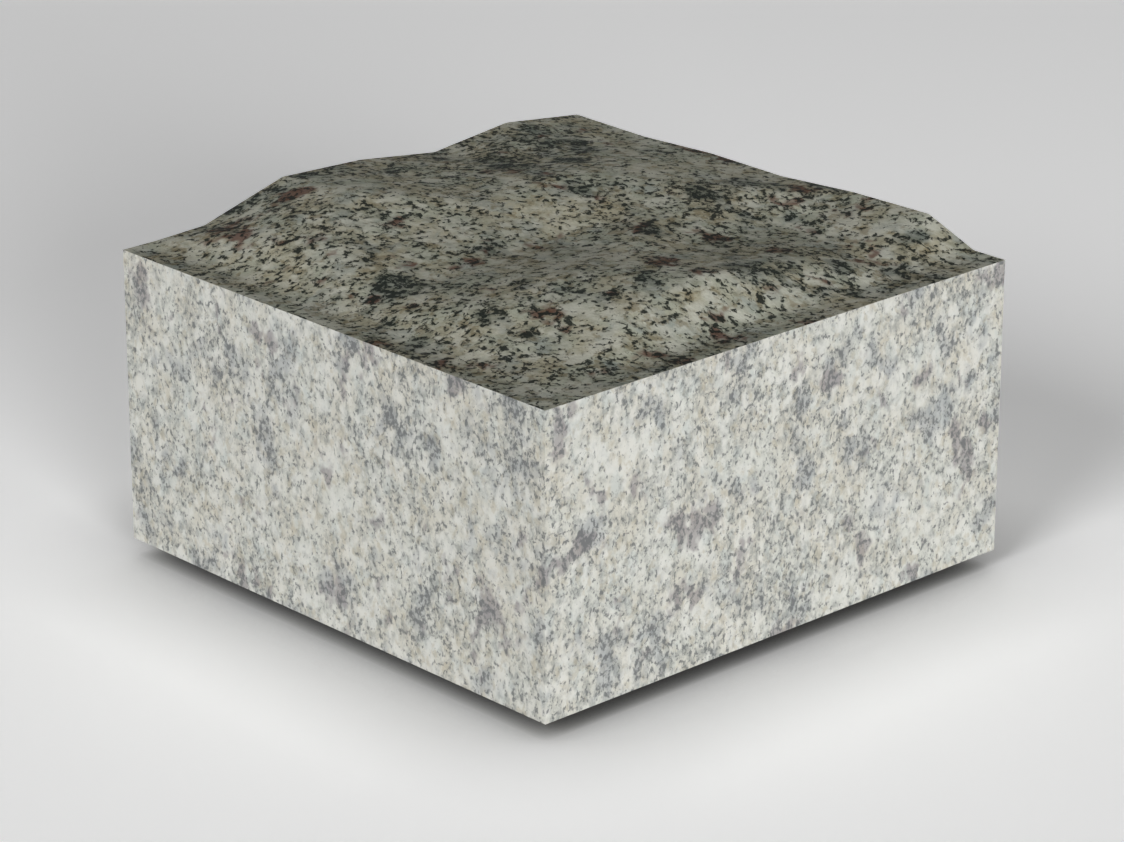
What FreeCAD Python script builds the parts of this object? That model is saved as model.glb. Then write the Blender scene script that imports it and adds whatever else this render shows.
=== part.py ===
"""Granite sett: one block of stone, sawn flat on four sides, split on its top and its underside.

The block stands on three high spots of its split underside, with the origin below its middle.
X and Y run square to the sawn sides, and the straightest corner of the top is at -X, -Y.
Each split face is broken into large flat facets, with a level strip along its straight arrises.
"""
import FreeCAD, Part
import math
import os
from collections import namedtuple

# Driving dimensions, in millimetres
LENGTH = 100.0        # along X, over the sawn sides
WIDTH = 100.0         # along Y, over the sawn sides
SIDE_HEIGHT = 50.0    # sawn height at the straight front corner, lower arris to upper arris
TOP_RELIEF = 5.0      # rise of a full hump on the split top
BED_RELIEF = 3.0      # drop of a full hump on the split underside
ARRIS_STRIP = 6.7     # width of the level strip along a straight arris

# How the split faces are broken
FACETS = 6            # facets of a split face, along X and along Y
TOP_BASE = 0.46       # share of the relief by which the whole top stands above its straight arrises

NODE = "granite_sett"
TOUCH = 1e-6          # lengths that differ by less than this are the same

# A hump's place and reach are shares of the length and width, counted from the front corner.
# Its rise is a share of the face's relief, and its turn is in degrees. A negative rise is a dip.
Hump = namedtuple("Hump", "along across reach_along reach_across turn rise")

TOP_HUMPS = [
    # back left peak, which falls away to the left corner
    Hump(0.34, 0.88, 0.36, 0.21, 50.0, 1.04),
    Hump(0.12, 1.00, 0.20, 0.20, 0.0, -0.50),
    # far corner knob
    Hump(0.84, 1.00, 0.16, 0.15, 0.0, 0.38),
    # middle knoll, with an arm to its left and one to its right
    Hump(0.68, 0.66, 0.42, 0.30, -12.0, 0.84),
    Hump(0.47, 0.65, 0.17, 0.12, 0.0, 0.20),
    Hump(0.84, 0.50, 0.14, 0.14, 0.0, 0.16),
    # front ridge, and the hollows at both ends of it
    Hump(0.44, 0.23, 0.44, 0.24, -38.0, 0.80),
    Hump(0.12, 0.12, 0.18, 0.18, 0.0, -0.38),
    Hump(0.10, 0.52, 0.16, 0.16, 0.0, -0.24),
    # valley between the ridge and the knoll
    Hump(0.48, 0.49, 0.14, 0.12, 0.0, -0.24),
    # right shoulder, the hollow before it, and the long dip behind it
    Hump(1.00, 0.24, 0.18, 0.19, 0.0, 0.54),
    Hump(0.82, 0.22, 0.22, 0.20, 0.0, -0.28),
    Hump(1.00, 0.67, 0.15, 0.45, 0.0, -0.12),
]

BED_HUMPS = [
    # the three high spots that the block stands on, each worn to one flat facet
    Hump(0.22, 0.22, 0.35, 0.35, 0.0, 1.66),
    Hump(0.78, 0.28, 0.35, 0.35, 0.0, 1.66),
    Hump(0.45, 0.78, 0.35, 0.35, 0.0, 1.66),
    # hollows between them
    Hump(0.50, 0.25, 0.20, 0.24, 0.0, -0.40),
    Hump(0.20, 0.52, 0.22, 0.20, 0.0, -0.30),
    Hump(0.72, 0.58, 0.24, 0.20, 30.0, -0.40),
]


def hump_share(hump, x, y):
    """Share of a face's full relief that one hump adds at a plan point: a cone."""
    turn = math.radians(hump.turn)
    dx = x - hump.along * LENGTH
    dy = y - hump.across * WIDTH
    u = (dx * math.cos(turn) + dy * math.sin(turn)) / (hump.reach_along * LENGTH)
    v = (dy * math.cos(turn) - dx * math.sin(turn)) / (hump.reach_across * WIDTH)
    return hump.rise * max(0.0, 1.0 - math.hypot(u, v))


def top_corner(x, y):
    """Corner of the top's facets over a plan point: its two front arrises are straight, the back ones are not."""
    share = 0.0
    if min(x, y) > ARRIS_STRIP + TOUCH:
        share = TOP_BASE + sum(hump_share(hump, x, y) for hump in TOP_HUMPS)
    return FreeCAD.Vector(x - LENGTH / 2, y - WIDTH / 2, BED_RELIEF + SIDE_HEIGHT + TOP_RELIEF * share)


def bed_corner(x, y):
    """Corner of the underside's facets: its four arrises are straight, and none is below the standing level."""
    share = 0.0
    if min(x, LENGTH - x, y, WIDTH - y) > ARRIS_STRIP + TOUCH:
        share = min(1.0, sum(hump_share(hump, x, y) for hump in BED_HUMPS))
    return FreeCAD.Vector(x - LENGTH / 2, y - WIDTH / 2, BED_RELIEF - BED_RELIEF * share)


def facet_lines(size, far_strip):
    """Where a split face breaks across one of its sizes: after each level strip, and at even steps between."""
    lines = [0.0, ARRIS_STRIP] + [size * i / FACETS for i in range(1, FACETS)]
    if far_strip:
        lines.append(size - ARRIS_STRIP)
    return lines + [size]


def flat_face(corners):
    """Flat face with the given corners, in order round it."""
    return Part.Face(Part.makePolygon(corners + corners[:1]))


def split_face(corner, xs, ys, outward):
    """Facets over the whole plan: two to each cell, meeting along the diagonal that stands further outward."""
    facets = []
    for x0, x1 in zip(xs, xs[1:]):
        for y0, y1 in zip(ys, ys[1:]):
            a, b, c, d = corner(x0, y0), corner(x1, y0), corner(x1, y1), corner(x0, y1)
            if outward * (a.z + c.z - b.z - d.z) >= 0.0:
                facets += [flat_face([a, b, c]), flat_face([a, c, d])]
            else:
                facets += [flat_face([a, b, d]), flat_face([b, c, d])]
    return facets


def granite_sett():
    """The whole block, closed by the facets of its two split faces and by four sawn sides."""
    top_xs, top_ys = facet_lines(LENGTH, False), facet_lines(WIDTH, False)
    bed_xs, bed_ys = facet_lines(LENGTH, True), facet_lines(WIDTH, True)
    faces = split_face(top_corner, top_xs, top_ys, 1.0) + split_face(bed_corner, bed_xs, bed_ys, -1.0)
    for x in (0.0, LENGTH):
        lower = [bed_corner(x, y) for y in bed_ys]
        upper = [top_corner(x, y) for y in reversed(top_ys)]
        faces.append(flat_face(lower + upper))
    for y in (0.0, WIDTH):
        lower = [bed_corner(x, y) for x in bed_xs]
        upper = [top_corner(x, y) for x in reversed(top_xs)]
        faces.append(flat_face(lower + upper))
    shell = Part.makeShell(faces)
    shell.sewShape()
    solid = Part.makeSolid(shell)
    if solid.Volume < 0.0:
        solid.reverse()
    solid = solid.removeSplitter()
    if not solid.isValid():
        raise ValueError("the sett did not close into a sound solid")
    return solid


os.makedirs("parts", exist_ok=True)
granite_sett().exportStep("parts/" + NODE + ".step")
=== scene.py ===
"""Granite sett: the block's sawn sides and split faces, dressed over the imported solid, on a pale floor."""

import logging
import math
from collections.abc import Mapping
from dataclasses import dataclass
from enum import Enum
from typing import Any

import bpy
from mathutils import Euler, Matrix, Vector

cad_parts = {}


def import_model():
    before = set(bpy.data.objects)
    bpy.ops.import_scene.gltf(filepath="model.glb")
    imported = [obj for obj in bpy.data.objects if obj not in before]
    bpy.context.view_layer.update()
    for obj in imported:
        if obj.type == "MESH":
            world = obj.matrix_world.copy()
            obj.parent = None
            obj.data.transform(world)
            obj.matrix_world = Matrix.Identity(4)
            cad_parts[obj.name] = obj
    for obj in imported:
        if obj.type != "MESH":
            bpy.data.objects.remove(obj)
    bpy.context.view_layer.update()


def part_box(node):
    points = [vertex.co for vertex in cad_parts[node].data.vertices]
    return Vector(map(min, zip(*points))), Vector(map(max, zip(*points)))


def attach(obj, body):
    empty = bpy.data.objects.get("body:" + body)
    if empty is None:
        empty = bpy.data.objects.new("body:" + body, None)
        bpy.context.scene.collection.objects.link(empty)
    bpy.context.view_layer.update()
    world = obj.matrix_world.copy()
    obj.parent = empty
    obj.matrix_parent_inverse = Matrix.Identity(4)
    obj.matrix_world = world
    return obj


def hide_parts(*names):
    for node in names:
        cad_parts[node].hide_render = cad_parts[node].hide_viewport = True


LOG = logging.getLogger("granite_sett")

MM = 0.001
MM_PER_METRE = 1000.0
NOISE_MIDDLE = 0.5

# Sockets of a Mix node that mixes colours
MIX_SHARE = 0
MIX_UNDER = 6
MIX_OVER = 7
MIX_RESULT = 2

Colour = tuple[float, float, float, float]
Socket = bpy.types.NodeSocket
Sockets = Mapping[int | str, Socket]
Number = float | Socket


def srgb(red: int, green: int, blue: int) -> Colour:
    """A colour as seen on screen, turned into the linear values that shaders take.

    Args:
        red: Red from 0 to 255.
        green: Green from 0 to 255.
        blue: Blue from 0 to 255.

    Returns:
        Linear red, green and blue, and a full alpha.
    """
    def linear(value: int) -> float:
        """One channel in linear light."""
        share = value / 255.0
        return share / 12.92 if share <= 0.04045 else ((share + 0.055) / 1.055) ** 2.4

    return (linear(red), linear(green), linear(blue), 1.0)


class Graph:
    """A node tree that is being filled: each call adds a node and sets or links its inputs."""

    def __init__(self, tree: bpy.types.NodeTree) -> None:
        """Takes the tree to fill."""
        self.tree = tree

    def add(
        self, kind: str, inputs: Mapping[int | str, Any] | None = None, **settings: Any
    ) -> bpy.types.Node:
        """Adds a node.

        Args:
            kind: The node's type name.
            inputs: Socket name or number to a value, or to the socket that feeds it.
            settings: The node's own options.

        Returns:
            The new node.
        """
        node = self.tree.nodes.new(kind)
        for name, value in settings.items():
            setattr(node, name, value)
        for key, value in (inputs or {}).items():
            if isinstance(value, Socket):
                self.tree.links.new(value, node.inputs[key])
            else:
                node.inputs[key].default_value = value
        return node

    def calc(self, operation: str, first: Number, second: Number = 0.0, third: Number = 0.0) -> Socket:
        """A number worked out from up to three others.

        Args:
            operation: The Math node's operation.
            first: A number or a socket.
            second: A number or a socket.
            third: A number or a socket.

        Returns:
            The socket that holds the result.
        """
        node = self.add("ShaderNodeMath", {0: first, 1: second, 2: third}, operation=operation)
        return node.outputs[0]

    def ramp(
        self, value: Number, low: Number, high: Number, start: Number = 0.0, end: Number = 1.0
    ) -> Socket:
        """A smooth step from one number to another.

        Args:
            value: The number that is stepped.
            low: Where the step starts.
            high: Where the step ends.
            start: The result at and below low.
            end: The result at and above high.

        Returns:
            The socket that holds the result.
        """
        inputs = {"Value": value, "From Min": low, "From Max": high, "To Min": start, "To Max": end}
        return self.add("ShaderNodeMapRange", inputs, interpolation_type="SMOOTHSTEP").outputs["Result"]

    def noise(
        self, place: Socket, size: float, seed: float, detail: float = 2.0, rough: float = 0.55
    ) -> bpy.types.Node:
        """Cloudy noise in the solid.

        Args:
            place: The socket that holds the place, in the same unit as size.
            size: About how large its clouds are.
            seed: Which noise it is.
            detail: How many finer layers it has.
            rough: How strong those layers are.

        Returns:
            The noise node.
        """
        inputs = {"Vector": place, "W": seed, "Scale": 1.0 / size, "Detail": detail, "Roughness": rough}
        return self.add("ShaderNodeTexNoise", inputs, noise_dimensions="4D")

    def split(self, vector: Socket) -> Sockets:
        """The three numbers of a vector."""
        return self.add("ShaderNodeSeparateXYZ", {0: vector}).outputs

    def tint(self, share: Number, under: Socket | Colour, over: Socket | Colour) -> Socket:
        """One colour laid over another.

        Args:
            share: How much of the upper colour shows.
            under: The lower colour.
            over: The upper colour.

        Returns:
            The socket that holds the mixed colour.
        """
        inputs = {MIX_SHARE: share, MIX_UNDER: under, MIX_OVER: over}
        return self.add("ShaderNodeMix", inputs, data_type="RGBA").outputs[MIX_RESULT]


class Mineral(Enum):
    """What the stone is made of, as far as the eye tells it apart."""

    CREAM = "Cream"
    WHITE = "White"
    QUARTZ = "Quartz"
    SMOKE = "Smoke"
    OCHRE = "Ochre"
    MICA = "Mica"
    CLUSTER = "Cluster"
    GARNET = "Garnet"
    GRIT = "Grit"


@dataclass(frozen=True)
class Growth:
    """How one mineral grows through the solid: it shows where its noise is high.

    Attributes:
        size: About how large its patches are, in millimetres.
        start: Level of the noise at which it begins to show.
        full: Level from which it shows fully.
        seed: Which noise it is.
        detail: How many finer layers the noise has.
        rough: How strong those layers are.
        seam: How much it is drawn to the seams between grains, or kept off them.
        cloud: How much it is drawn to the dark clouds, or kept out of them.
        mica: How much it draws mica to itself, or keeps it away.
    """

    size: float
    start: float
    full: float
    seed: float
    detail: float = 3.0
    rough: float = 0.55
    seam: float = 0.0
    cloud: float = 0.0
    mica: float = 0.0


GROWTHS = {
    Mineral.CREAM: Growth(size=8.0, start=0.40, full=0.60, seed=1.0),
    Mineral.QUARTZ: Growth(size=4.2, start=0.52, full=0.66, seed=3.0, mica=-0.02),
    Mineral.SMOKE: Growth(size=1.5, start=0.40, full=0.66, seed=4.0, rough=0.68, seam=0.12, cloud=0.2),
    Mineral.WHITE: Growth(size=3.4, start=0.46, full=0.66, seed=2.0, seam=-0.12, cloud=-0.1, mica=-0.05),
    Mineral.OCHRE: Growth(size=2.2, start=0.52, full=0.64, seed=5.0, rough=0.62, seam=0.08),
    Mineral.CLUSTER: Growth(size=10.0, start=0.52, full=0.65, seed=6.0, rough=0.66, cloud=0.1, mica=0.07),
    Mineral.GARNET: Growth(size=9.0, start=0.58, full=0.66, seed=7.0, rough=0.66, mica=0.05),
}


@dataclass(frozen=True)
class CrystalPattern:
    """The stone's minerals as patterns that run through the solid, with sizes in millimetres.

    Attributes:
        stretch: Share to which heights are pressed, so that upright crystals are drawn out.
        warp_size: Size of the waves that bend the crystals.
        warp_reach: How far they bend them.
        warp_detail: How many finer waves there are.
        warp_seed: Which noise the waves are.
        grain_size: Size of the grains whose seams the dark minerals follow.
        mica_size: Size of the mica flecks.
        mica_seam: How much mica is drawn to the seams.
        mica_cloud: How much mica is drawn to the dark clouds.
        mica_detail: How many finer layers the flecks have.
        mica_rough: How strong those layers are.
        mica_seed: Which noise the flecks are.
        cloud_size: Size of the dark clouds.
        cloud_seed: Which noise the clouds are.
        grit_size: Size of the surface's grit.
        grit_seed: Which noise the grit is.
    """

    stretch: float = 0.75
    warp_size: float = 2.2
    warp_reach: float = 1.5
    warp_detail: float = 3.0
    warp_seed: float = 9.0
    grain_size: float = 2.6
    mica_size: float = 0.9
    mica_seam: float = 0.22
    mica_cloud: float = 0.13
    mica_detail: float = 4.0
    mica_rough: float = 0.66
    mica_seed: float = 10.0
    cloud_size: float = 15.0
    cloud_seed: float = 12.0
    grit_size: float = 0.6
    grit_seed: float = 8.0

    def build(self) -> bpy.types.NodeTree:
        """Makes the pattern as a node group with one output for each mineral.

        Returns:
            The node group.
        """
        tree = bpy.data.node_groups.new("granite_crystals", "ShaderNodeTree")
        tree.interface.new_socket("Grain", in_out="INPUT", socket_type="NodeSocketFloat")
        for mineral in Mineral:
            tree.interface.new_socket(mineral.value, in_out="OUTPUT", socket_type="NodeSocketFloat")
        graph = Graph(tree)
        place = self.place(graph)
        shares = self.grow(graph, place, self.bend(graph, place))
        shares[Mineral.GRIT] = graph.noise(place, self.grit_size, self.grit_seed).outputs[0]
        graph.add("NodeGroupOutput", {mineral.value: share for mineral, share in shares.items()})
        return tree

    def place(self, graph: Graph) -> Socket:
        """The place in the stone, in millimetres of full grain, with upright crystals drawn out a little.

        Args:
            graph: The tree to add to.

        Returns:
            The socket that holds the place.
        """
        place = graph.add("ShaderNodeTexCoord").outputs["Object"]
        scale = (MM_PER_METRE, MM_PER_METRE, MM_PER_METRE * self.stretch)
        place = graph.add("ShaderNodeVectorMath", {0: place, 1: scale}, operation="MULTIPLY").outputs[0]
        fineness = graph.calc("DIVIDE", 1.0, graph.add("NodeGroupInput").outputs["Grain"])
        fine = graph.add("ShaderNodeVectorMath", {"Vector": place, "Scale": fineness}, operation="SCALE")
        return fine.outputs[0]

    def bend(self, graph: Graph, place: Socket) -> Socket:
        """The place pushed about by a noise, so that the crystals have ragged edges.

        Args:
            graph: The tree to add to.
            place: The place in the stone.

        Returns:
            The socket that holds the new place.
        """
        push = graph.noise(place, self.warp_size, self.warp_seed, self.warp_detail).outputs["Color"]
        middle = (NOISE_MIDDLE, NOISE_MIDDLE, NOISE_MIDDLE)
        push = graph.add("ShaderNodeVectorMath", {0: push, 1: middle}, operation="SUBTRACT").outputs[0]
        reach = (self.warp_reach, self.warp_reach, self.warp_reach)
        bent = graph.add("ShaderNodeVectorMath", {0: push, 1: reach, 2: place}, operation="MULTIPLY_ADD")
        return bent.outputs[0]

    def grow(self, graph: Graph, place: Socket, bent: Socket) -> dict[Mineral, Socket]:
        """Spreads the minerals through the stone, and crowds the mica along seams and in dark clouds.

        Args:
            graph: The tree to add to.
            place: The place in the stone.
            bent: The place pushed about.

        Returns:
            How much of each mineral there is, and for mica its level before a finish cuts it off.
        """
        grains = {"Vector": bent, "Scale": 1.0 / self.grain_size}
        inside = graph.add("ShaderNodeTexVoronoi", grains, feature="DISTANCE_TO_EDGE").outputs["Distance"]
        cloud = graph.noise(place, self.cloud_size, self.cloud_seed).outputs[0]
        cloud = graph.calc("SUBTRACT", cloud, NOISE_MIDDLE)
        crowd = graph.calc("MULTIPLY", inside, -self.mica_seam)
        crowd = graph.calc("MULTIPLY_ADD", cloud, self.mica_cloud, crowd)
        shares = {}
        for mineral, growth in GROWTHS.items():
            level = graph.noise(bent, growth.size, growth.seed, growth.detail, growth.rough).outputs[0]
            if growth.seam:
                level = graph.calc("MULTIPLY_ADD", inside, -growth.seam, level)
            if growth.cloud:
                level = graph.calc("MULTIPLY_ADD", cloud, growth.cloud, level)
            shares[mineral] = graph.ramp(level, growth.start, growth.full)
            if growth.mica:
                crowd = graph.calc("MULTIPLY_ADD", shares[mineral], growth.mica, crowd)
        mica = graph.noise(bent, self.mica_size, self.mica_seed, self.mica_detail, self.mica_rough).outputs[0]
        shares[Mineral.MICA] = graph.calc("ADD", mica, crowd)
        return shares


@dataclass(frozen=True)
class Coat:
    """How one mineral shows in a finish: its colour, and how much of it covers what is below."""

    colour: Colour
    share: float


@dataclass(frozen=True)
class GraniteFinish:
    """The granite as one way of working leaves it: its minerals' colours, its roughness and its grit.

    Attributes:
        name: The material's name.
        ground: Colour of the stone below its minerals.
        coats: The minerals that show, from the lowest to the uppermost.
        grain: How coarse the pattern shows, with 1 for its full size.
        mica_start: Level at which mica begins to show.
        mica_full: Level from which it shows fully.
        roughness: Roughness of the stone.
        mica_roughness: Roughness of the mica.
        specular: Strength of the gloss.
        grit_height: Height of the grit, in metres.
        mica_depth: How deep the mica lies, as a share of that height, and nought where it is cut level.
    """

    name: str
    ground: Colour
    coats: dict[Mineral, Coat]
    grain: float
    mica_start: float
    mica_full: float
    roughness: float
    mica_roughness: float
    specular: float
    grit_height: float
    mica_depth: float

    def build(self, crystals: bpy.types.NodeTree) -> bpy.types.Material:
        """Makes the material.

        Args:
            crystals: The node group with the stone's minerals.

        Returns:
            The material.
        """
        material = bpy.data.materials.new(self.name)
        material.use_nodes = True
        material.node_tree.nodes.clear()
        graph = Graph(material.node_tree)
        stone = graph.add("ShaderNodeGroup", {"Grain": self.grain}, node_tree=crystals).outputs
        shown = {mineral: stone[mineral.value] for mineral in Mineral}
        mica = graph.ramp(shown[Mineral.MICA], self.mica_start, self.mica_full)
        shown[Mineral.MICA] = mica
        colour = self.ground
        for mineral, coat in self.coats.items():
            share = graph.calc("MULTIPLY", shown[mineral], coat.share)
            colour = graph.tint(share, colour, coat.colour)
        height = shown[Mineral.GRIT]
        if self.mica_depth:
            height = graph.calc("MULTIPLY_ADD", mica, -self.mica_depth, height)
        bump = graph.add("ShaderNodeBump", {"Strength": 1.0, "Distance": self.grit_height, "Height": height})
        shader = graph.add(
            "ShaderNodeBsdfPrincipled",
            {
                "Base Color": colour,
                "Roughness": graph.ramp(mica, 0.0, 1.0, self.roughness, self.mica_roughness),
                "Specular IOR Level": self.specular,
                "Normal": bump.outputs[0],
            },
        )
        graph.add("ShaderNodeOutputMaterial", {"Surface": shader.outputs[0]})
        return material


SAWN = GraniteFinish(
    name="sawn_granite",
    ground=srgb(207, 208, 200),
    coats={
        Mineral.CREAM: Coat(srgb(206, 201, 187), 0.6),
        Mineral.QUARTZ: Coat(srgb(194, 201, 199), 0.55),
        Mineral.SMOKE: Coat(srgb(142, 145, 142), 0.7),
        Mineral.WHITE: Coat(srgb(224, 224, 218), 0.65),
        Mineral.OCHRE: Coat(srgb(178, 168, 143), 0.4),
        Mineral.CLUSTER: Coat(srgb(148, 153, 157), 0.55),
        Mineral.GARNET: Coat(srgb(142, 135, 137), 0.65),
        Mineral.MICA: Coat(srgb(106, 109, 110), 0.86),
    },
    grain=0.75,
    mica_start=0.475,
    mica_full=0.60,
    roughness=0.65,
    mica_roughness=0.5,
    specular=0.25,
    grit_height=0.02 * MM,
    mica_depth=0.0,
)

SPLIT = GraniteFinish(
    name="split_granite",
    ground=srgb(180, 183, 166),
    coats={
        Mineral.CREAM: Coat(srgb(185, 175, 148), 0.6),
        Mineral.QUARTZ: Coat(srgb(160, 168, 164), 0.6),
        Mineral.SMOKE: Coat(srgb(112, 112, 95), 0.5),
        Mineral.WHITE: Coat(srgb(206, 206, 193), 0.75),
        Mineral.OCHRE: Coat(srgb(118, 102, 64), 0.5),
        Mineral.CLUSTER: Coat(srgb(66, 82, 77), 0.55),
        Mineral.GARNET: Coat(srgb(98, 58, 46), 0.8),
        Mineral.MICA: Coat(srgb(30, 36, 33), 0.94),
    },
    grain=1.1,
    mica_start=0.47,
    mica_full=0.56,
    roughness=0.85,
    mica_roughness=0.6,
    specular=0.05,
    grit_height=0.12 * MM,
    mica_depth=0.6,
)


@dataclass
class SettBlock:
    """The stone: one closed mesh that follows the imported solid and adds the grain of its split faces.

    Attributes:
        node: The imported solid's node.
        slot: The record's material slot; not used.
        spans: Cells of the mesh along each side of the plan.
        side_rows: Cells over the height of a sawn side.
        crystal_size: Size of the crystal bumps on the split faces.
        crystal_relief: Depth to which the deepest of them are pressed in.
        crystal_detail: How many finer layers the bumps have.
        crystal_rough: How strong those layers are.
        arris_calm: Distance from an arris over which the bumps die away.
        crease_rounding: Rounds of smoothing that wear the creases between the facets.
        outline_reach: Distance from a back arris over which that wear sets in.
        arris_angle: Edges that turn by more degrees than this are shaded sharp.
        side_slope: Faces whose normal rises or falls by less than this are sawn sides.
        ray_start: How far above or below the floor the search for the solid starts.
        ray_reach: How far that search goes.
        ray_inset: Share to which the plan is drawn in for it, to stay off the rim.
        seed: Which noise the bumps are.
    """

    node: str = "granite_sett"
    slot: str = "granite"
    spans: int = 200
    side_rows: int = 5
    crystal_size: float = 4.0 * MM
    crystal_relief: float = 0.45 * MM
    crystal_detail: float = 3.0
    crystal_rough: float = 0.5
    arris_calm: float = 5.0 * MM
    crease_rounding: int = 24
    outline_reach: float = 9.0 * MM
    arris_angle: float = 55.0
    side_slope: float = 0.3
    ray_start: float = 1.0
    ray_reach: float = 2.0
    ray_inset: float = 0.9998
    seed: float = 11.0

    def build(self, sawn: bpy.types.Material, split: bpy.types.Material) -> bpy.types.Object:
        """Builds the block and puts it on its body.

        Args:
            sawn: Finish of the four flat sides.
            split: Finish of the top and the underside.

        Returns:
            The finished piece.
        """
        piece = bpy.data.objects.new("sett_block", bpy.data.meshes.new("sett_block"))
        bpy.context.scene.collection.objects.link(piece)
        inputs = self.tree_inputs(sawn, split)
        modifier = piece.modifiers.new("split_relief", "NODES")
        modifier.node_group = self.relief_tree({name: kind for name, (kind, _) in inputs.items()})
        for item in modifier.node_group.interface.items_tree:
            if item.name in inputs:
                modifier[item.identifier] = inputs[item.name][1]
        self.make_plain(piece)
        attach(piece, "root")
        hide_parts(self.node)
        LOG.info("%s: %d faces, stands for %s", piece.name, len(piece.data.polygons), self.node)
        return piece

    def tree_inputs(
        self, sawn: bpy.types.Material, split: bpy.types.Material
    ) -> dict[str, tuple[str, Any]]:
        """Lists what the node tree is given.

        Args:
            sawn: Finish of the four flat sides.
            split: Finish of the top and the underside.

        Returns:
            Each input's name, with its kind of socket and its value.
        """
        low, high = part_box(self.node)
        return {
            "Solid": ("NodeSocketObject", bpy.data.objects[self.node]),
            "Size": ("NodeSocketVector", high - low),
            "Spans": ("NodeSocketInt", self.spans + 1),
            "Side Rows": ("NodeSocketInt", self.side_rows + 1),
            "Crystal Size": ("NodeSocketFloat", self.crystal_size),
            "Crystal Relief": ("NodeSocketFloat", self.crystal_relief),
            "Arris Calm": ("NodeSocketFloat", self.arris_calm),
            "Crease Rounding": ("NodeSocketInt", self.crease_rounding),
            "Outline Reach": ("NodeSocketFloat", self.outline_reach),
            "Seed": ("NodeSocketFloat", self.seed),
            "Sawn Finish": ("NodeSocketMaterial", sawn),
            "Split Finish": ("NodeSocketMaterial", split),
        }

    @staticmethod
    def make_plain(piece: bpy.types.Object) -> None:
        """Turns what the modifier makes into the piece's own mesh.

        Args:
            piece: The piece with its modifier.
        """
        depsgraph = bpy.context.evaluated_depsgraph_get()
        mesh = bpy.data.meshes.new_from_object(piece.evaluated_get(depsgraph))
        piece.modifiers.clear()
        piece.data = mesh

    def relief_tree(self, kinds: Mapping[str, str]) -> bpy.types.NodeTree:
        """Makes the node tree that shapes and dresses the block.

        Args:
            kinds: Each input's name, with its kind of socket.

        Returns:
            The node tree, with its sizes, seed and finishes as named inputs.
        """
        tree = bpy.data.node_groups.new("split_relief", "GeometryNodeTree")
        tree.interface.new_socket("Geometry", in_out="INPUT", socket_type="NodeSocketGeometry")
        for name, kind in kinds.items():
            tree.interface.new_socket(name, in_out="INPUT", socket_type=kind)
        tree.interface.new_socket("Geometry", in_out="OUTPUT", socket_type="NodeSocketGeometry")
        graph = Graph(tree)
        given = graph.add("NodeGroupInput").outputs
        block = self.shaped(graph, given)
        graph.add("NodeGroupOutput", {0: self.dressed(graph, given, block)})
        return tree

    def shaped(self, graph: Graph, given: Sockets) -> Socket:
        """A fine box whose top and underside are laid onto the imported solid's.

        Args:
            graph: The tree to add to.
            given: The tree's input sockets.

        Returns:
            The socket that holds the mesh.
        """
        cube = graph.add(
            "GeometryNodeMeshCube",
            {"Size": given["Size"], "Vertices X": given["Spans"], "Vertices Y": given["Spans"],
             "Vertices Z": given["Side Rows"]},
        )
        size = graph.split(given["Size"])
        place = graph.split(graph.add("GeometryNodeInputPosition").outputs[0])
        lift = graph.calc("ADD", graph.calc("DIVIDE", place[2], size[2]), 0.5)
        calm = self.calm_share(graph, place, size, given["Arris Calm"])
        worn = self.worn_share(graph, place, size, given["Outline Reach"])
        top = self.split_height(graph, given, place, calm, worn, downward=True)
        bed = self.split_height(graph, given, place, calm, worn, downward=False)
        rise = graph.calc("MULTIPLY_ADD", lift, graph.calc("SUBTRACT", top, bed), bed)
        moved = graph.add("ShaderNodeCombineXYZ", {0: place[0], 1: place[1], 2: rise}).outputs[0]
        block = graph.add("GeometryNodeSetPosition", {"Geometry": cube.outputs["Mesh"], "Position": moved})
        return block.outputs[0]

    def dressed(self, graph: Graph, given: Sockets, block: Socket) -> Socket:
        """The block shaded smooth between its sharp arrises, with a finish on each face.

        Args:
            graph: The tree to add to.
            given: The tree's input sockets.
            block: The socket that holds the mesh.

        Returns:
            The socket that holds the dressed mesh.
        """
        smooth = graph.add("GeometryNodeSetShadeSmooth", {0: block}).outputs[0]
        turn = graph.add("GeometryNodeInputMeshEdgeAngle").outputs["Unsigned Angle"]
        arris = graph.add(
            "FunctionNodeCompare", {0: turn, 1: math.radians(self.arris_angle)}, operation="GREATER_THAN"
        ).outputs[0]
        crisp = graph.add(
            "GeometryNodeSetShadeSmooth",
            {0: smooth, "Selection": arris, "Shade Smooth": False},
            domain="EDGE",
        ).outputs[0]
        facing = graph.split(graph.add("GeometryNodeInputNormal").outputs[0])[2]
        upright = graph.add(
            "FunctionNodeCompare",
            {0: graph.calc("ABSOLUTE", facing), 1: self.side_slope},
            operation="LESS_THAN",
        ).outputs[0]
        solid = graph.add("GeometryNodeRealizeInstances", {0: crisp}).outputs[0]
        rough = graph.add("GeometryNodeSetMaterial", {0: solid, "Material": given["Split Finish"]})
        sides = {0: rough.outputs[0], "Selection": upright, "Material": given["Sawn Finish"]}
        return graph.add("GeometryNodeSetMaterial", sides).outputs[0]

    @staticmethod
    def calm_share(graph: Graph, place: Sockets, size: Sockets, calm: Socket) -> Socket:
        """Share of the crystal bumps that is left near the block's arrises.

        Args:
            graph: The tree to add to.
            place: The place's three coordinates.
            size: The block's three sizes.
            calm: Distance from an arris over which the bumps die away.

        Returns:
            The socket that holds the share.
        """
        gaps = []
        for axis in (0, 1):
            half = graph.calc("MULTIPLY", size[axis], 0.5)
            gaps.append(graph.calc("SUBTRACT", half, graph.calc("ABSOLUTE", place[axis])))
        return graph.ramp(graph.calc("MINIMUM", gaps[0], gaps[1]), 0.0, calm)

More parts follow.
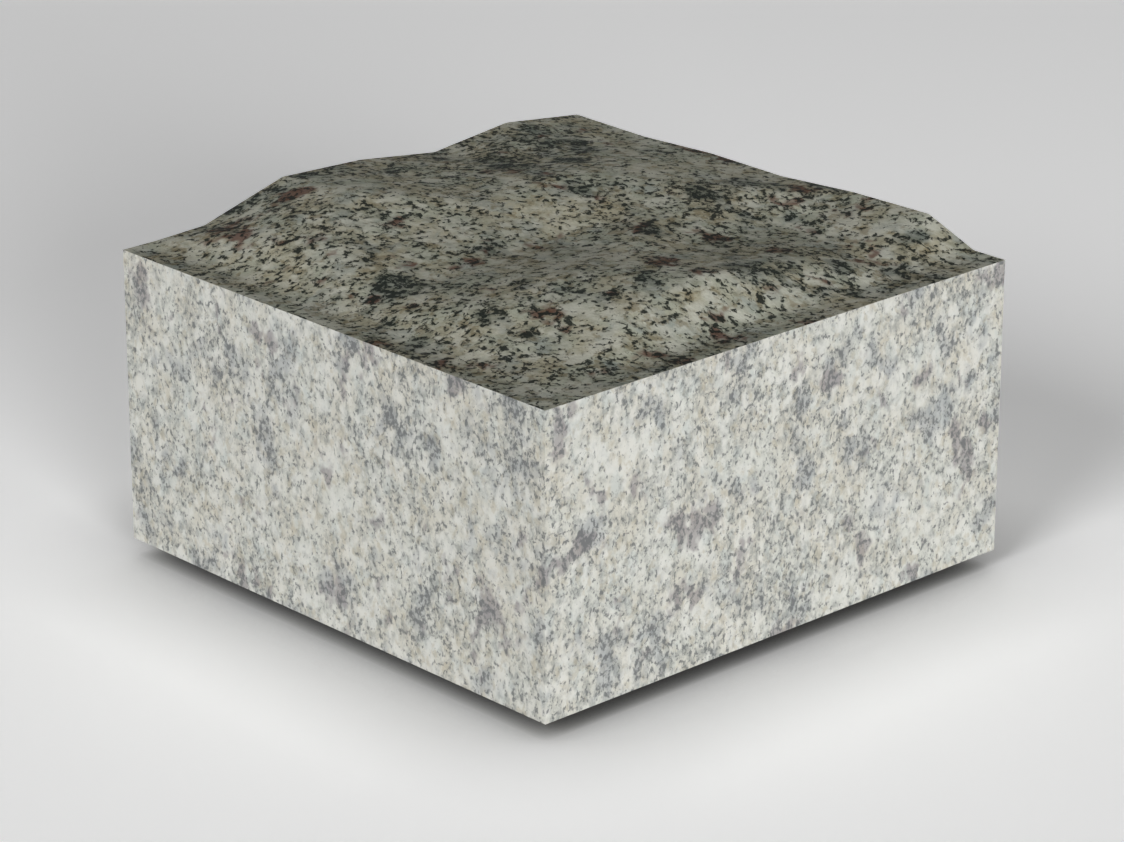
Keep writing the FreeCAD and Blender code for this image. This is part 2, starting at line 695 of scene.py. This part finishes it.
    @staticmethod
    def worn_share(graph: Graph, place: Sockets, size: Sockets, reach: Socket) -> Socket:
        """Share by which creases are rounded: none at the two broken back arrises, all of it further in.

        Args:
            graph: The tree to add to.
            place: The place's three coordinates.
            size: The block's three sizes.
            reach: Distance from a back arris over which the rounding grows.

        Returns:
            The socket that holds the share.
        """
        gaps = []
        for axis in (0, 1):
            inward = graph.calc("MULTIPLY", place[axis], -1.0)
            gaps.append(graph.calc("MULTIPLY_ADD", size[axis], 0.5, inward))
        return graph.ramp(graph.calc("MINIMUM", gaps[0], gaps[1]), 0.0, reach)

    def split_height(
        self, graph: Graph, given: Sockets, place: Sockets, calm: Socket, worn: Socket, downward: bool
    ) -> Socket:
        """Height of a split face over each plan point, with rounded creases and its grain pressed inwards.

        Args:
            graph: The tree to add to.
            given: The tree's input sockets.
            place: The place's three coordinates.
            calm: Share of the grain that is left near the arrises.
            worn: Share by which creases are rounded.
            downward: True to look down on the top, False to look up at the underside.

        Returns:
            The socket that holds the height.
        """
        way = -1.0 if downward else 1.0
        inset = [graph.calc("MULTIPLY", place[axis], self.ray_inset) for axis in (0, 1)]
        start = {0: inset[0], 1: inset[1], 2: -way * self.ray_start}
        solid = graph.add("GeometryNodeObjectInfo", {"Object": given["Solid"]}).outputs["Geometry"]
        hit = graph.add(
            "GeometryNodeRaycast",
            {
                "Target Geometry": solid,
                "Source Position": graph.add("ShaderNodeCombineXYZ", start).outputs[0],
                "Ray Direction": (0.0, 0.0, way),
                "Ray Length": self.ray_reach,
            },
        ).outputs["Hit Position"]
        grain = graph.add(
            "ShaderNodeTexNoise",
            {
                "Vector": hit,
                "W": given["Seed"],
                "Scale": graph.calc("DIVIDE", 1.0, given["Crystal Size"]),
                "Detail": self.crystal_detail,
                "Roughness": self.crystal_rough,
            },
            noise_dimensions="4D",
        ).outputs[0]
        depth = graph.calc("MULTIPLY", graph.calc("MULTIPLY", grain, given["Crystal Relief"]), calm)
        rounded = graph.add(
            "GeometryNodeBlurAttribute",
            {0: graph.split(hit)[2], "Iterations": given["Crease Rounding"], "Weight": worn},
        ).outputs[0]
        return graph.calc("MULTIPLY_ADD", depth, way, rounded)


@dataclass(frozen=True)
class Lamp:
    """One lamp, far off, with angles in degrees.

    Attributes:
        name: The lamp's name.
        strength: Light on a face square to it, with 1 for a plain level.
        heading: Which way its light travels in plan, from +X.
        elevation: How steeply its light falls.
        spread: How wide it looks from the stone.
    """

    name: str
    strength: float
    heading: float
    elevation: float
    spread: float

    def build(self) -> None:
        """Hangs the lamp."""
        data = bpy.data.lights.new(self.name, "SUN")
        data.energy = self.strength * math.pi
        data.angle = math.radians(self.spread)
        lamp = bpy.data.objects.new(self.name, data)
        tilt = math.radians(90.0 - self.elevation)
        lamp.rotation_euler = Euler((tilt, 0.0, math.radians(self.heading - 90.0)))
        bpy.context.scene.collection.objects.link(lamp)


@dataclass
class Studio:
    """The stage around the stone: floor, soft light and the camera at the photograph's angle.

    Attributes:
        floor_size: Length of the floor's sides.
        floor_colour: Colour of the floor that light bounces from.
        floor_shade: How strongly the floor that is seen takes light and shade.
        floor_glow_near: Paleness added to the floor that is seen, on the camera's side.
        floor_glow_far: The same behind the stone.
        glow_from: Depth at which the near paleness begins to fade, counted from the stone's middle.
        glow_to: Depth at which only the far paleness is left.
        contact_reach: How far the painted shade of close contact reaches.
        backdrop: Paleness of the backdrop.
        sky_horizon: Strength of the light from the horizon.
        sky_fall: How fast that light falls off with height.
        lamps: Two broad soft lamps on the camera's side, and two level ones for the back sides.
        lens: Focal length, in millimetres.
        sensor: Width of the camera's sensor, in millimetres.
        camera_place: Where the camera stands, in millimetres.
        camera_heading: Which way it looks in plan, in degrees from +X.
        camera_dip: How far it looks down, in degrees.
    """

    floor_size: float = 8.0
    floor_colour: Colour = srgb(230, 230, 230)
    floor_shade: float = 1.3
    floor_glow_near: float = 0.22
    floor_glow_far: float = 0.095
    glow_from: float = -0.10
    glow_to: float = 0.33
    contact_reach: float = 0.028
    backdrop: float = 0.58
    sky_horizon: float = 0.80
    sky_fall: float = 4.0
    lamps: tuple[Lamp, ...] = (
        Lamp("right_key", strength=0.78, heading=67.0, elevation=10.0, spread=24.0),
        Lamp("left_key", strength=0.41, heading=12.0, elevation=29.0, spread=24.0),
        Lamp("right_fill", strength=0.22, heading=180.0, elevation=0.5, spread=1.0),
        Lamp("left_fill", strength=0.22, heading=270.0, elevation=0.5, spread=1.0),
    )
    lens: float = 138.0
    sensor: float = 36.0
    camera_place: tuple[float, float, float] = (-445.87, -479.27, 273.58)
    camera_heading: float = 47.075
    camera_dip: float = 20.831

    def build(self) -> None:
        """Makes the floor, the lights and the camera."""
        self.build_floor()
        self.build_sky()
        for lamp in self.lamps:
            lamp.build()
        self.build_camera()
        LOG.info("studio: floor, %d lamps and camera", len(self.lamps))

    def build_floor(self) -> None:
        """Lays a plain pale floor under the stone."""
        half = self.floor_size / 2
        mesh = bpy.data.meshes.new("floor")
        corners = [(-half, -half, 0.0), (half, -half, 0.0), (half, half, 0.0), (-half, half, 0.0)]
        mesh.from_pydata(corners, [], [(0, 1, 2, 3)])
        mesh.materials.append(self.floor_finish())
        floor = bpy.data.objects.new("floor", mesh)
        bpy.context.scene.collection.objects.link(floor)

    def floor_finish(self) -> bpy.types.Material:
        """The floor's material: a plain bounce for the light, and a paler look with soft shade for the eye,
        the shade near the stone painted in by ambient occlusion.

        Returns:
            The material.
        """
        material = bpy.data.materials.new("pale_floor")
        material.use_nodes = True
        material.node_tree.nodes.clear()
        graph = Graph(material.node_tree)
        plain = graph.add("ShaderNodeBsdfDiffuse", {"Color": self.floor_colour})
        # Ambient occlusion paints a soft shade of close contact into the seen floor's colour and glow.
        contact = graph.add("ShaderNodeAmbientOcclusion", {"Distance": self.contact_reach}).outputs["AO"]
        shade = graph.calc("MULTIPLY", contact, self.floor_shade)
        shaded = graph.add("ShaderNodeBsdfDiffuse", {"Color": shade})
        glow = graph.calc("MULTIPLY", self.floor_glow(graph), contact)
        glowing = graph.add("ShaderNodeEmission", {"Strength": glow})
        seen = graph.add("ShaderNodeAddShader", {0: shaded.outputs[0], 1: glowing.outputs[0]})
        mixed = graph.add(
            "ShaderNodeMixShader", {0: self.seen_share(graph), 1: plain.outputs[0], 2: seen.outputs[0]}
        )
        graph.add("ShaderNodeOutputMaterial", {"Surface": mixed.outputs[0]})
        return material

    def floor_glow(self, graph: Graph) -> Socket:
        """Paleness of the floor, which fades from the camera's side to behind the stone.

        Args:
            graph: The tree to add to.

        Returns:
            The socket that holds the paleness.
        """
        place = graph.add("ShaderNodeTexCoord").outputs["Object"]
        heading = math.radians(self.camera_heading)
        away = (math.cos(heading), math.sin(heading), 0.0)
        depth = graph.add("ShaderNodeVectorMath", {0: place, 1: away}, operation="DOT_PRODUCT")
        fade = {
            "Value": depth.outputs["Value"],
            "From Min": self.glow_from,
            "From Max": self.glow_to,
            "To Min": self.floor_glow_near,
            "To Max": self.floor_glow_far,
        }
        return graph.add("ShaderNodeMapRange", fade).outputs["Result"]

    @staticmethod
    def seen_share(graph: Graph) -> Socket:
        """One for what the camera sees, itself or in a mirror or glass, and zero for bounced light.

        Args:
            graph: The tree to add to.

        Returns:
            The socket that holds the share.
        """
        path = graph.add("ShaderNodeLightPath").outputs
        mirrored = graph.calc("MAXIMUM", path["Is Glossy Ray"], path["Is Transmission Ray"])
        return graph.calc("MAXIMUM", path["Is Camera Ray"], mirrored)

    def build_sky(self) -> None:
        """Lights the stone evenly from all round, mostly from near the horizon, before a plain backdrop."""
        world = bpy.data.worlds.new("studio_sky")
        world.use_nodes = True
        world.node_tree.nodes.clear()
        graph = Graph(world.node_tree)
        height = graph.split(graph.add("ShaderNodeTexCoord").outputs["Generated"])[2]
        low = graph.calc("SUBTRACT", 1.0, graph.calc("ABSOLUTE", height))
        strength = graph.calc("MULTIPLY", graph.calc("POWER", low, self.sky_fall), self.sky_horizon)
        light = graph.add("ShaderNodeBackground", {"Strength": strength})
        backdrop = graph.add("ShaderNodeBackground", {"Strength": self.backdrop})
        mixed = graph.add(
            "ShaderNodeMixShader", {0: self.seen_share(graph), 1: light.outputs[0], 2: backdrop.outputs[0]}
        )
        graph.add("ShaderNodeOutputWorld", {"Surface": mixed.outputs[0]})
        bpy.context.scene.world = world

    def build_camera(self) -> None:
        """Puts the camera where the photograph was taken from."""
        data = bpy.data.cameras.new("camera")
        data.lens = self.lens
        data.sensor_fit = "HORIZONTAL"
        data.sensor_width = self.sensor
        camera = bpy.data.objects.new("camera", data)
        camera.location = Vector(self.camera_place) * MM
        tilt = math.radians(90.0 - self.camera_dip)
        turn = math.radians(self.camera_heading - 90.0)
        camera.rotation_euler = Euler((tilt, 0.0, turn))
        bpy.context.scene.collection.objects.link(camera)
        bpy.context.scene.camera = camera


def main() -> None:
    """Builds the stone and its studio in order."""
    logging.basicConfig(level=logging.INFO)
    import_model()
    bpy.context.scene.view_settings.view_transform = "Standard"
    crystals = CrystalPattern().build()
    SettBlock().build(SAWN.build(crystals), SPLIT.build(crystals))
    Studio().build()


if __name__ == "__main__":
    main()
